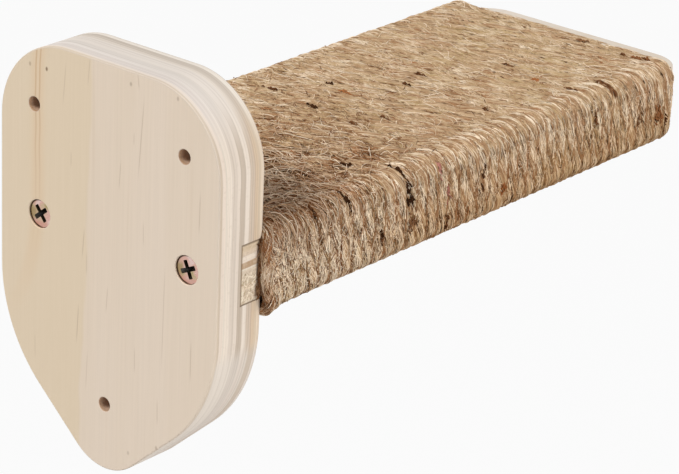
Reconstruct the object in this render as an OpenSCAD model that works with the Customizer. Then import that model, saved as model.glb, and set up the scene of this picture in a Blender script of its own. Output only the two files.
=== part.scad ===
// Cat wall shelf: a plywood back plate for the wall, and a plywood tread board wound with jute rope.
// The origin is on the plate's back, on its centre line, at the board's mid-height.
// +Z is up, +Y points into the wall, and the board stands out towards -Y. Lengths are in millimetres.

/* [Back plate] */
// Width across the plate's straight sides
plate_w = 96.5; // [84:0.5:120]
// Thickness of the plate
plate_t = 21; // [17:0.5:28]
// Height of the plate's top edge above the board's mid-plane
plate_top = 61.5; // [56:0.5:80]
// Depth of the plate's tip below the board's mid-plane
plate_drop = 81; // [75:0.5:100]
// Radius of the two upper corners
corner_r = 29; // [12:0.5:36]
// Radius of the flanks, where the sides turn in towards the tip
flank_r = 54; // [40:0.5:62]
// Depth of the flank arcs' centres below the board's mid-plane
flank_drop = 20; // [14:0.5:25]
// Radius of the lower tip
tip_r = 18.5; // [10:0.5:28]

/* [Wall holes] */
// Diameter of the three holes for wall screws
wall_hole_d = 5; // [3.5:0.1:7]
// Distance of the two upper holes from the plate's sides
wall_hole_inset = 15.25; // [13:0.25:25]
// Distance of the two upper holes below the plate's top edge
upper_hole_drop = 22.25; // [17:0.25:32]
// Distance of the lower hole above the plate's tip
lower_hole_rise = 23.5; // [15:0.5:40]

/* [Tread board] */
// Thickness of the board
board_t = 21; // [16:0.5:27]
// Reach of the board from the wall to its tip
board_reach = 262; // [180:1:360]
// Depth of the groove across the plate's front that takes the board's end
groove_depth = 10; // [6:0.5:12]
// Clearance above and below the board in the groove
groove_fit = 0.1; // [0.05:0.05:0.3]
// Setback of the board's sides from the plate's sides
board_setback = 0.2; // [0.1:0.1:1]
// Radius of the tip's corners, seen from above
board_corner_r = 14; // [6:0.5:24]
// Radius of the long edges that the rope bends over
board_edge_r = 2; // [1:0.25:5]

/* [Jute rope] */
// Number of turns along the board
rope_turns = 24; // [12:1:24]
// Thickness of the wound rope, flattened by its own pull
rope_h = 4.7; // [3:0.1:6]
// Gap between neighbouring turns
turn_gap = 0.6; // [0.5:0.05:1.5]
// Clearance between the rope and the wood
rope_fit = 0.3; // [0.2:0.05:0.6]
// Length of bare wood at the board's tip
bare_tip = 16; // [10:0.5:40]

/* [Assembly screws] */
// Diameter over the thread
screw_d = 5; // [4:0.1:6]
// Diameter at the root of the thread
screw_root_d = 3.2; // [2.5:0.1:3.8]
// Length of a screw with its head
screw_l = 50; // [35:1:70]
// Pitch of the thread
thread_pitch = 2.5; // [1.5:0.1:3.5]
// Diameter of the countersunk head
screw_head_d = 9.6; // [8:0.1:11]
// Depth of the head's top below the plate's back
screw_sink = 0.8; // [0.3:0.1:2]
// Distance of the two screws from the plate's sides
screw_inset = 15.5; // [13:0.5:28]
// Height of the screws above the board's mid-plane
screw_rise = 1.4; // [-3:0.1:4]
// Sideways shift of the pair of screws from the centre line, as driven
screw_shift = -2.2; // [-4:0.1:4]
// Clearance round a screw in the wood
screw_fit = 0.15; // [0.1:0.05:0.5]

/* [Staples] */
// Width of the staple wire, along the rope
staple_wire_w = 1.2; // [0.8:0.1:2]
// Thickness of the staple wire
staple_wire_t = 0.9; // [0.5:0.1:1.1]
// Depth that the legs are driven into the board
staple_drive = 7; // [4:0.5:9]
// Distance between the two staples on one end of the rope
staple_spacing = 9; // [4:0.5:12]
// Clearance round a staple
staple_fit = 0.15; // [0.1:0.05:0.3]

/* [Hidden] */
$fn = 96;

// One overrun serves every cut
overrun = 1;

// Plate outline: circles in order, anticlockwise seen from the front, each [x, z, radius, half of the plate]
flank_x = plate_w / 2 - flank_r;
corner_x = plate_w / 2 - corner_r;
corner_z = plate_top - corner_r;
outline_circles = [
    [flank_x, -flank_drop, flank_r, 1],
    [corner_x, corner_z, corner_r, 1],
    [-corner_x, corner_z, corner_r, -1],
    [-flank_x, -flank_drop, flank_r, -1],
    [0, tip_r - plate_drop, tip_r, 0]
];

// Board
board_w = plate_w - 2 * board_setback;
groove_h = board_t + 2 * groove_fit;

// Screw head, thread and cross recess
head_rim = 0.5;
head_cone = (screw_head_d - screw_d) / 2;
thread_start = head_rim + head_cone;
screw_point = screw_d;
thread_count = floor((screw_l - screw_point - thread_start) / thread_pitch);
thread_crest_share = 0.12;
thread_flank_share = 0.3;
recess_d_share = 0.68;
recess_depth_share = 0.34;
recess_slot_share = 0.17;
recess_tip_share = 0.2;

// Place of a screw along the board's end: side is -1 on the left and 1 on the right
function screw_x(side) = screw_shift + side * (plate_w / 2 - screw_inset);

// Rope winding: each turn lies square to the board on the top and the sides, and steps along underneath
wrap_end = board_reach - bare_tip;
turn_pitch = (wrap_end - plate_t - rope_fit + turn_gap) / rope_turns;
rope_w = turn_pitch - turn_gap;
first_turn_y = -(plate_t + rope_fit + rope_w / 2);
bend_r = board_edge_r + rope_fit;
bend_x = board_w / 2 - board_edge_r;
bend_z = board_t / 2 - board_edge_r;
bend_steps = 4;
bends = 4;
under_z = -(bend_z + bend_r);

// Where the rope steps along under the board, and where its ends lie, as shares of the bend's place
step_x_shares = [-0.36, -0.12, 0.12, 0.36];
step_run_shares = [0, 0.26, 0.74, 1];
rings_per_turn = bends * (bend_steps + 1) + len(step_x_shares);
tail_end_share = 0.46;
tail_neck_share = 0.84;
tail_w_share = 0.6;
tail_h_share = 0.6;

// Section of the rope, flat where it lies on the board: shares of its width and of its thickness
section_shares = [[-0.5, 0.45], [-0.34, 0], [0.34, 0], [0.5, 0.45], [0.32, 1], [-0.32, 1]];
section_sides = len(section_shares);

// Staples
tail_w = rope_w * tail_w_share;
tail_h = rope_h * tail_h_share;
staple_half_span = tail_w / 2 + staple_fit;
staple_crown_z = under_z - tail_h - staple_fit;
tail_mid_x = bend_x * (tail_end_share + tail_neck_share) / 2;
last_turn_y = first_turn_y - (rope_turns - 1) * turn_pitch;

// Back plate

// Direction of the outward normal on the straight edge that joins circle a to circle b
function edge_angle(a, b) =
    let (dx = b[0] - a[0], dz = b[1] - a[1])
    atan2(dz, dx) - acos((a[2] - b[2]) / norm([dx, dz]));

// Point of a circle in a given direction
function rim_point(circle, angle) =
    [circle[0] + circle[2] * cos(angle), circle[1] + circle[2] * sin(angle)];

// Disc of one circle, kept to the half of the plate that its arc is on
module outline_disc(c) {
    side = c[3];
    intersection() {
        translate([c[0], c[1]])
            circle(r = c[2]);
        translate([side > 0 ? 0 : -plate_w, -plate_drop - overrun])
            square([side == 0 ? 2 * plate_w : plate_w, plate_drop + plate_top + 2 * overrun]);
    }
}

module plate_outline() {
    count = len(outline_circles);
    polygon([
        for (i = [0 : count - 1])
            let (a = outline_circles[i], b = outline_circles[(i + 1) % count], angle = edge_angle(a, b))
            each [rim_point(a, angle), rim_point(b, angle)]
    ]);
    for (c = outline_circles)
        outline_disc(c);
}

// Turns a shape drawn along +Z so that it runs from the plate's back towards the tip
module into_wall_side() {
    rotate([90, 0, 0])
        children();
}

module wall_hole(x, z) {
    translate([x, overrun, z])
        into_wall_side()
            cylinder(h = plate_t + 2 * overrun, d = wall_hole_d);
}

// Room for one screw: the well that its head is pulled into, the head's seat and its shank
module screw_seat(side) {
    seat_r = screw_head_d / 2 + screw_fit;
    well = screw_sink + head_rim;
    translate([screw_x(side), 0, screw_rise])
        into_wall_side() {
            translate([0, 0, -overrun])
                cylinder(h = well + overrun, r = seat_r);
            translate([0, 0, well])
                cylinder(h = head_cone, r1 = seat_r, r2 = screw_d / 2 + screw_fit);
            cylinder(h = plate_t, r = screw_d / 2 + screw_fit);
        }
}

module back_plate() {
    color("burlywood")
        difference() {
            into_wall_side()
                linear_extrude(plate_t)
                    plate_outline();
            translate([-plate_w, -plate_t - overrun, -groove_h / 2])
                cube([2 * plate_w, groove_depth + overrun, groove_h]);
            for (side = [-1, 1]) {
                wall_hole(side * (plate_w / 2 - wall_hole_inset), plate_top - upper_hole_drop);
                screw_seat(side);
            }
            wall_hole(0, lower_hole_rise - plate_drop);
        }
}

// Tread board

// Square section with its four corners rounded
module rounded_section(w, h, r) {
    square([w - 2 * r, h], center = true);
    square([w, h - 2 * r], center = true);
    for (x = [-1, 1], z = [-1, 1])
        translate([x * (w / 2 - r), z * (h / 2 - r)])
            circle(r = r);
}

// Wood outside the round of one tip corner
module tip_corner_waste(side) {
    centre_x = side * (board_w / 2 - board_corner_r);
    centre_y = board_corner_r - board_reach;
    translate([centre_x, centre_y, -board_t])
        difference() {
            translate([side > 0 ? 0 : -board_corner_r - overrun, -board_corner_r - overrun, 0])
                cube([board_corner_r + overrun, board_corner_r + overrun, 2 * board_t]);
            cylinder(h = 2 * board_t, r = board_corner_r);
        }
}

module tread_board() {
    pilot_l = screw_sink + screw_l + screw_fit;
    color("wheat")
        difference() {
            union() {
                translate([-board_w / 2, -plate_t, -board_t / 2])
                    cube([board_w, groove_depth, board_t]);
                translate([0, -plate_t, 0])
                    into_wall_side()
                        linear_extrude(board_reach - plate_t)
                            rounded_section(board_w, board_t, board_edge_r);
            }
            for (side = [-1, 1]) {
                tip_corner_waste(side);
                translate([screw_x(side), 0, screw_rise])
                    into_wall_side()
                        cylinder(h = pilot_l, r = screw_d / 2 + screw_fit);
            }
            for (which = [-1, 1]) {
                staple_legs(1, which, staple_fit);
                staple_legs(-1, which, staple_fit);
            }
        }
}

// Jute rope

// The rings of one bend, each [x, z, outward angle]
function bend_rings(x_side, z_side, from) = [
    for (k = [0 : bend_steps])
        let (angle = from + 90 * k / bend_steps)
        [x_side * bend_x + bend_r * cos(angle), z_side * bend_z + bend_r * sin(angle), angle]
];

// The rings of one turn's four bends, from the underside round the +X side, over the top and down again
function turn_rings() = concat(
    bend_rings(1, -1, -90), bend_rings(1, 1, 0), bend_rings(-1, 1, 90), bend_rings(-1, -1, 180)
);

// The six points of the rope's section on one ring
function section_points(ring, y, w, h) = [
    for (s = section_shares)
        [ring[0] + s[1] * h * cos(ring[2]), y + s[0] * w, ring[1] + s[1] * h * sin(ring[2])]
];

// The straight end of the rope under the board, squeezed flat under its staples
function tail_points(x_shares, y) = [
    for (share = x_shares)
        each section_points([share * bend_x, under_z, -90], y, tail_w, tail_h)
];

// The points of the whole rope, ring by ring
function rope_points() = concat(
    tail_points([tail_end_share, tail_neck_share], first_turn_y),
    [
        for (turn = [0 : rope_turns - 1])
            let (y = first_turn_y - turn * turn_pitch)
            each concat(
                [for (ring = turn_rings()) each section_points(ring, y, rope_w, rope_h)],
                turn == rope_turns - 1 ? [] : [
                    for (k = [0 : len(step_x_shares) - 1])
                        let (ring = [step_x_shares[k] * bend_x, under_z, -90])
                        each section_points(ring, y - step_run_shares[k] * turn_pitch, rope_w, rope_h)
                ]
            )
    ],
    tail_points([-tail_neck_share, -tail_end_share], last_turn_y)
);

// Triangles between neighbouring rings, and a fan over each end
function tube_faces(rings) = concat(
    [
        for (r = [0 : rings - 2], j = [0 : section_sides - 1])
            let (
                k = (j + 1) % section_sides,
                a = r * section_sides,
                b = a + section_sides
            )
            each [[a + j, b + j, a + k], [a + k, b + j, b + k]]
    ],
    [for (j = [1 : section_sides - 2]) [0, j, j + 1]],
    [
        for (j = [1 : section_sides - 2])
            let (last = (rings - 1) * section_sides)
            [last, last + j + 1, last + j]
    ]
);

// Least distance between points of the rope that lie about one turn apart along it
function least_turn_gap(points) =
    let (
        near = section_sides * rings_per_turn / 2,
        far = section_sides * rings_per_turn * 3 / 2,
        count = len(points)
    )
    min([
        for (i = [0 : count - near - 1])
            min([for (j = [i + near : min(i + far, count - 1)]) norm(points[i] - points[j])])
    ]);

module jute_rope() {
    points = rope_points();
    echo("least gap between turns of the rope, mm", least_turn_gap(points));
    color("peru")
        polyhedron(points = points, faces = tube_faces(len(points) / section_sides));
}

// Assembly screws

// Half of the screw's section, as [radius, depth], from the top of its head to its point
function screw_profile() = concat(
    [[0, 0], [screw_head_d / 2, 0], [screw_head_d / 2, head_rim], [screw_d / 2, thread_start]],
    [
        for (k = [0 : thread_count - 1])
            let (z = thread_start + k * thread_pitch)
            each [
                [screw_d / 2, z + thread_crest_share * thread_pitch],
                [screw_root_d / 2, z + (thread_crest_share + thread_flank_share) * thread_pitch],
                [screw_root_d / 2, z + (1 - thread_flank_share) * thread_pitch],
                [screw_d / 2, z + thread_pitch]
            ]
    ],
    [[screw_root_d / 2, screw_l - screw_point], [0, screw_l]]
);

// Cross recess, wide at the top of the head and narrow at its bottom
module cross_recess() {
    slot = recess_slot_share * screw_head_d;
    depth = recess_depth_share * screw_head_d;
    intersection() {
        union()
            for (turn = [0, 90])
                rotate(turn)
                    translate([-screw_head_d / 2, -slot / 2, -overrun])
                        cube([screw_head_d, slot, depth + overrun]);
        cylinder(
            h = depth,
            d1 = recess_d_share * screw_head_d,
            d2 = recess_tip_share * screw_head_d
        );
    }
}

module assembly_screw(side) {
    color("goldenrod")
        translate([screw_x(side), -screw_sink, screw_rise])
            into_wall_side()
                difference() {
                    rotate_extrude()
                        polygon(screw_profile());
                    cross_recess();
                }
}

module assembly_screw_left() { assembly_screw(-1); }
module assembly_screw_right() { assembly_screw(1); }

// Staples

// Centre of a staple: rope_end is 1 at the rope's start and -1 at its end, which is -1 or 1 of the pair
function staple_place(rope_end, which) = [
    rope_end * (tail_mid_x + which * staple_spacing / 2),
    rope_end > 0 ? first_turn_y : last_turn_y
];

// The two legs of a staple, or with a clearance the pockets that they are driven into
module staple_legs(rope_end, which, clearance) {
    place = staple_place(rope_end, which);
    foot = clearance > 0 ? overrun : 0;
    for (side = [-1, 1])
        translate([
            place[0] - staple_wire_w / 2 - clearance,
            place[1] + side * (staple_half_span + staple_wire_t / 2) - staple_wire_t / 2 - clearance,
            staple_crown_z - foot
        ])
            cube([
                staple_wire_w + 2 * clearance,
                staple_wire_t + 2 * clearance,
                -board_t / 2 + staple_drive + clearance - staple_crown_z + foot
            ]);
}

module staple(rope_end, which) {
    place = staple_place(rope_end, which);
    color("silver") {
        staple_legs(rope_end, which, 0);
        translate([
            place[0] - staple_wire_w / 2,
            place[1] - staple_half_span - staple_wire_t,
            staple_crown_z - staple_wire_t
        ])
            cube([staple_wire_w, 2 * (staple_half_span + staple_wire_t), staple_wire_t]);
    }
}

module rope_start_staple_1() { staple(1, -1); }
module rope_start_staple_2() { staple(1, 1); }
module rope_end_staple_1() { staple(-1, -1); }
module rope_end_staple_2() { staple(-1, 1); }

back_plate();
tread_board();
jute_rope();
assembly_screw_left();
assembly_screw_right();
rope_start_staple_1();
rope_start_staple_2();
rope_end_staple_1();
rope_end_staple_2();
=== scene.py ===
"""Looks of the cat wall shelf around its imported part: plywood, jute rope, plated screws and staples."""

import math

import bmesh
import bpy
import numpy as np
from mathutils import Matrix, Vector


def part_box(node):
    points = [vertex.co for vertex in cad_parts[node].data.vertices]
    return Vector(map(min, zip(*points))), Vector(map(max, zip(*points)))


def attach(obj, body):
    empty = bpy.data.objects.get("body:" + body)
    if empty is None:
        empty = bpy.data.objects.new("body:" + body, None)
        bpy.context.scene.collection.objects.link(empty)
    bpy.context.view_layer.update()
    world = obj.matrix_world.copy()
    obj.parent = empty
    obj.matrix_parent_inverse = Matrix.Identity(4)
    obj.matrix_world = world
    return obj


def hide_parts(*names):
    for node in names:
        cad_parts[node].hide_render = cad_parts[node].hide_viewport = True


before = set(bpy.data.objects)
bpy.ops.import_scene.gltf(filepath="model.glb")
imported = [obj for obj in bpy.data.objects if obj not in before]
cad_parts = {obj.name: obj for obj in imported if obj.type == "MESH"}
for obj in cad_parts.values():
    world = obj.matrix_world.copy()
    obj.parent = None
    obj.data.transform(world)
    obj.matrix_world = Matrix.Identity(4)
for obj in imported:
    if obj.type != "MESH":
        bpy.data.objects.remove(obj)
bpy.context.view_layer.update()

MM = 0.001
TAU = 2 * math.pi
UP = np.array([0.0, 0.0, 1.0])

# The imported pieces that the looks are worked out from
plate_lo, plate_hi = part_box("back_plate")
board_lo, board_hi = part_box("tread_board")
rope_lo, rope_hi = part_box("jute_rope")
plate_t = plate_hi.y - plate_lo.y
board_t = board_hi.z - board_lo.z

# Camera, fitted to the photograph's outlines
IMAGE_W = 679
CAMERA_TARGET = (-25.79 * MM, -87.543 * MM, -15.59 * MM)
CAMERA_DISTANCE = 1049.64 * MM
CAMERA_AZIMUTH = 218.934
CAMERA_ELEVATION = 22.605
CAMERA_ROLL = -2.571
FOCAL_PIXELS = 3084.9
SENSOR_W = 36.0

# Plywood edges
ARRIS = 0.5 * MM
ARRIS_SEGMENTS = 3
HOLE_ARRIS = 0.25 * MM
HOLE_SEGMENTS = 2
SHARP_ANGLE = math.radians(40)
SMOOTH_ANGLE = math.radians(28)
GROOVE_HALF = 10.6 * MM
GROOVE_FLOOR_Y = plate_lo.y + 10.0 * MM
BARE_TIP = 16.0 * MM
TOUCHING = 0.01 * MM
WELD = 0.001 * MM
FLAT_ANGLE = 0.002

# Rope
ROPE_TURNS = 40
STRANDS = 3
ROPE_LAY = 41.0 * MM
STRAND_RELIEF = 0.22
CROWN_POWER = 0.6
CROWN_MEAN = 0.8
# Where on the underside the rope starts to step to the next turn, and over what share of it
STEP_START = 0.12
STEP_SHARE = 0.62
TUBE_SIDES = 3
SECTION_POWER = 4.0
ROPE_OVERLAP = 1.1
BOARD_EDGE_R = 2.0 * MM
ROPE_REST = 0.1 * MM
ROPE_H = 4.8 * MM
TAIL_X = 21.3 * MM
POINTS_PER_STRAND = 4
RING_STEP = 1.22 * MM


# Node trees

class Shader:
    """The node tree of a material or of the world, with a short call for each kind of node in use."""

    def __init__(self, name, world=None):
        self.owner = world or bpy.data.materials.new(name)
        self.owner.use_nodes = True
        self.tree = self.owner.node_tree
        self.tree.nodes.clear()

    def feed(self, socket, value):
        if isinstance(value, bpy.types.NodeSocket):
            self.tree.links.new(value, socket)
        else:
            socket.default_value = value

    def node(self, kind, sockets=(), **settings):
        made = self.tree.nodes.new(kind)
        for key, value in settings.items():
            setattr(made, key, value)
        for key, value in dict(sockets).items():
            self.feed(made.inputs[key], value)
        return made

    def position(self):
        return self.node("ShaderNodeTexCoord").outputs["Object"]

    def attribute(self, name, output="Fac"):
        return self.node("ShaderNodeAttribute", attribute_name=name).outputs[output]

    def split(self, vector):
        return self.node("ShaderNodeSeparateXYZ", {0: vector}).outputs

    def join(self, x, y, z):
        return self.node("ShaderNodeCombineXYZ", {0: x, 1: y, 2: z}).outputs[0]

    def distance(self, vector, place):
        return self.node("ShaderNodeVectorMath", {0: vector, 1: place}, operation="DISTANCE").outputs["Value"]

    def math(self, operation, a, b=0.0, c=0.0):
        return self.node("ShaderNodeMath", {0: a, 1: b, 2: c}, operation=operation).outputs[0]

    def times(self, a, b):
        return self.math("MULTIPLY", a, b)

    def plus(self, a, b):
        return self.math("ADD", a, b)

    def minus(self, a, b):
        return self.math("SUBTRACT", a, b)

    def most(self, a, b):
        return self.math("MAXIMUM", a, b)

    def size(self, a):
        return self.math("ABSOLUTE", a)

    def noise(self, vector, scale, detail=3.0, roughness=0.55, distortion=0.0):
        """Noise over a vector, with one scale or a scale for each axis."""
        scales = scale if isinstance(scale, tuple) else (scale, scale, scale)
        scaled = self.node("ShaderNodeVectorMath", {0: vector, 1: scales}, operation="MULTIPLY")
        sockets = {"Vector": scaled.outputs[0], "Scale": 1.0, "Detail": detail, "Roughness": roughness}
        made = self.node("ShaderNodeTexNoise", {**sockets, "Distortion": distortion})
        return made.outputs["Fac"]

    def span(self, value, low, high, to_low=0.0, to_high=1.0):
        sockets = {"Value": value, "From Min": low, "From Max": high, "To Min": to_low, "To Max": to_high}
        return self.node("ShaderNodeMapRange", sockets, interpolation_type="SMOOTHSTEP").outputs["Result"]

    def ramp(self, factor, stops):
        made = self.node("ShaderNodeValToRGB", {"Fac": factor})
        elements = made.color_ramp.elements
        while len(elements) < len(stops):
            elements.new(0.5)
        for element, (place, colour) in zip(elements, stops):
            element.position = place
            element.color = (*colour, 1.0)
        return made.outputs["Color"]

    def mix(self, factor, a, b, blend="MIX"):
        made = self.node("ShaderNodeMix", data_type="RGBA", blend_type=blend)
        self.feed(made.inputs["Factor"], factor)
        colours = [socket for socket in made.inputs if socket.type == "RGBA"]
        for socket, value in zip(colours, (a, b)):
            self.feed(socket, value if isinstance(value, bpy.types.NodeSocket) else (*value, 1.0))
        return next(socket for socket in made.outputs if socket.type == "RGBA")

    def bump(self, height, strength, distance):
        sockets = {"Height": height, "Strength": strength, "Distance": distance}
        return self.node("ShaderNodeBump", sockets).outputs["Normal"]

    def finish(self, sockets):
        shader = self.node("ShaderNodeBsdfPrincipled", sockets)
        self.node("ShaderNodeOutputMaterial", {"Surface": shader.outputs[0]})
        return self.owner


# Plywood

# Depth in mm where each ply of the plate ends, from its back face, and its colour
PLATE_PLIES = (
    (0.7, (0.62, 0.51, 0.385)), (1.3, (0.68, 0.56, 0.44)), (3.0, (0.795, 0.677, 0.568)),
    (3.7, (0.735, 0.643, 0.537)), (5.75, (0.815, 0.708, 0.597)), (8.3, (0.708, 0.608, 0.513)),
    (9.7, (0.758, 0.651, 0.552)), (12.1, (0.584, 0.486, 0.392)), (14.3, (0.797, 0.693, 0.588)),
    (16.3, (0.625, 0.51, 0.405)), (16.8, (0.56, 0.425, 0.315)), (18.2, (0.69, 0.54, 0.388)),
    (19.2, (0.69, 0.556, 0.413)), (20.4, (0.745, 0.611, 0.472)), (21.0, (0.65, 0.52, 0.39)),
)
# Along the plate's top and lower edges the cut shows other tones
PLATE_TOP_PLIES = (
    (2.2, (0.746, 0.655, 0.575)), (4.8, (0.675, 0.608, 0.558)), (6.9, (0.731, 0.668, 0.614)),
    (9.4, (0.642, 0.582, 0.526)), (14.4, (0.695, 0.627, 0.563)), (16.0, (0.715, 0.64, 0.562)),
    (18.7, (0.563, 0.492, 0.42)), (20.4, (0.761, 0.695, 0.615)), (21.0, (0.6, 0.52, 0.44)),
)
PLATE_LOW_PLIES = (
    (1.0, (0.715, 0.625, 0.52)), (8.6, (0.745, 0.66, 0.572)), (12.8, (0.676, 0.593, 0.515)),
    (14.8, (0.724, 0.628, 0.543)), (16.4, (0.676, 0.592, 0.508)), (19.3, (0.598, 0.5, 0.405)),
    (21.0, (0.72, 0.636, 0.556)),
)
# The board's plies run from its underside
BOARD_PLIES = (
    (1.6, (0.69, 0.565, 0.425)), (3.2, (0.715, 0.58, 0.44)), (5.0, (0.63, 0.505, 0.38)),
    (7.0, (0.735, 0.59, 0.445)), (8.0, (0.62, 0.5, 0.37)), (11.8, (0.665, 0.54, 0.412)),
    (12.6, (0.77, 0.67, 0.55)), (14.7, (0.485, 0.33, 0.21)), (16.9, (0.815, 0.695, 0.58)),
    (18.4, (0.7, 0.555, 0.42)), (20.4, (0.64, 0.5, 0.35)), (21.0, (0.66, 0.56, 0.45)),
)
PLY_BLUR = 0.006
# Pin knots of the plate's back veneer: x and z in mm, and strength
PIN_KNOTS = (
    (27.45, 52.7, 0.85), (35.0, 52.6, 0.4), (-29.75, 57.7, 0.35), (-9.7, 57.3, 0.4),
    (-23.55, -65.3, 0.35), (-11.1, -71.5, 0.3),
)
# Thin dark grain lines of the same veneer: x and z of the upper end, of the lower end, and strength
GRAIN_LINES = (
    (18.8, 57.3, 20.0, 42.4, 0.3), (8.2, 61.4, 9.0, 52.1, 0.3), (16.2, 27.2, 16.2, 22.4, 0.3),
    (-15.6, 55.2, -13.4, 25.3, 0.42), (-12.6, 61.4, -13.2, 56.9, 0.35), (-11.4, 41.0, -11.4, 37.6, 0.28),
    (-5.9, 30.7, -5.2, 20.2, 0.34), (-40.1, 29.6, -39.9, 15.0, 0.38), (-16.1, 12.4, -16.3, 4.1, 0.26),
    (9.9, 2.6, 10.8, -8.3, 0.42), (8.8, -5.6, 8.7, -13.7, 0.3), (12.2, -24.8, 13.0, -39.5, 0.48),
    (-0.8, -15.0, -0.2, -24.4, 0.34), (-25.8, 1.5, -25.1, -38.1, 0.32),
    (-13.2, -32.7, -13.4, -41.6, 0.32), (-37.7, -21.9, -37.7, -37.0, 0.4), (7.9, -40.4, 8.6, -55.2, 0.26),
    (-23.6, -47.9, -23.8, -56.9, 0.34), (32.3, -42.1, 32.2, -50.9, 0.24),
)
# Pin knots are this much flatter across the grain than along it
KNOT_SQUASH = 0.7
STREAK_X = 31.5 * MM
STREAK_SWERVE = 9.0
YELLOW_X = 9.0 * MM
YELLOW_LEAN = 0.04
# A dark speck in the board's end, in the notch
SPECK_Y = -13.4 * MM
SPECK_Z = -0.2 * MM


def ply_stops(plies):
    """Stops of a colour ramp with one even colour for each ply."""
    whole = plies[-1][0]
    stops = []
    start = 0.0
    for depth, colour in plies:
        end = depth / whole
        stops.append((start + (PLY_BLUR if start else 0.0), colour))
        stops.append((end - (PLY_BLUR if end < 1.0 else 0.0), colour))
        start = end
    return stops


def one_axis(axis, on, off):
    """Scales for noise: one along an axis and another along the other two."""
    return tuple(on if k == axis else off for k in range(3))


def plywood(name, plies, tones, depth_axis, slope, start, grain_axis):
    """A sheet's plies, from a start and a slope along its depth, under face veneers with these tones."""
    s = Shader(name)
    place = s.position()

    def grain(wide, long, **settings):
        return s.noise(place, one_axis(grain_axis, long, wide), **settings)

    wobble = s.noise(place, 70, detail=2)
    depth = s.math("MULTIPLY_ADD", s.split(place)[depth_axis], slope, start)
    share = s.plus(depth, s.span(wobble, 0.2, 0.8, -0.012, 0.012))
    layer_line = s.noise(place, one_axis(depth_axis, 1900, 11))
    layer_shade = s.ramp(layer_line, ((0.33, (0.855, 0.835, 0.815)), (0.56, (1.03, 1.03, 1.03))))
    ply = s.mix(1.0, s.ramp(share, ply_stops(plies)), layer_shade, "MULTIPLY")
    speck = s.noise(place, 620)
    ply = s.mix(s.span(speck, 0.56, 0.72, 0.0, 0.2), ply, (0.52, 0.41, 0.3))

    veneer = s.ramp(grain(42, 3.5, detail=2, distortion=0.6), tones)
    fine = grain(1150, 20, detail=4, roughness=0.6)
    fine_shade = s.ramp(fine, ((0.25, (0.962, 0.957, 0.948)), (0.72, (1.02, 1.02, 1.02))))
    veneer = s.mix(1.0, veneer, fine_shade, "MULTIPLY")
    veneer = s.mix(s.span(grain(260, 7, detail=2), 0.6, 0.76, 0.0, 0.22), veneer, (0.63, 0.49, 0.35))
    outer = s.most(s.span(share, 0.01, 0.034, 1.0, 0.0), s.span(share, 0.966, 0.99))
    return s, place, s.mix(outer, ply, veneer), fine, speck, layer_shade


def finish_plywood(s, place, wood, fine, speck):
    # Painted shade on the eased edges, stronger higher up where more light falls on them
    painted_arris_shade = s.span(s.split(place)[2], -35 * MM, 50 * MM, 0.05, 0.62)
    wood = s.mix(s.times(s.attribute("arris"), painted_arris_shade), wood, (0.56, 0.48, 0.4))
    bore = s.attribute("bore")
    wall = s.span(bore, 0.6, 0.9)
    wood = s.mix(s.times(wall, 0.7), wood, (0.43, 0.235, 0.12))
    # Painted shade deep inside the screw wells, around the heads
    painted_well_shade = s.times(bore, s.span(s.split(place)[1], -0.35 * MM, -0.75 * MM))
    painted_well_shade = s.minus(painted_well_shade, wall)
    wood = s.mix(s.times(s.most(painted_well_shade, 0.0), 1.8), wood, (0.09, 0.045, 0.022))
    height = s.plus(fine, s.times(speck, 0.6))
    return s.finish({
        "Base Color": wood,
        "Roughness": s.span(fine, 0.2, 0.8, 0.55, 0.72),
        "Specular IOR Level": 0.25,
        "Normal": s.bump(height, 0.1, 0.12 * MM),
    })


def grain_line(s, x, z, line):
    """How strongly one thin dark grain line shows, with its ends fading out."""
    x_up, z_up, x_low, z_low, strength = line
    lean = (x_up - x_low) / (z_up - z_low)
    start = (x_low - lean * z_low) * MM
    aside = s.size(s.minus(s.math("MULTIPLY_ADD", z, -lean, x), start))
    thin = s.span(aside, 0.06 * MM, 0.34 * MM, 0.75 * strength, 0.0)
    fade = 0.3 * (z_up - z_low)
    below_end = s.span(z, (z_up - fade) * MM, (z_up + 1.0) * MM, 1.0, 0.0)
    above_end = s.span(z, (z_low - 1.0) * MM, (z_low + fade) * MM)
    return s.times(thin, s.times(below_end, above_end))


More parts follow.
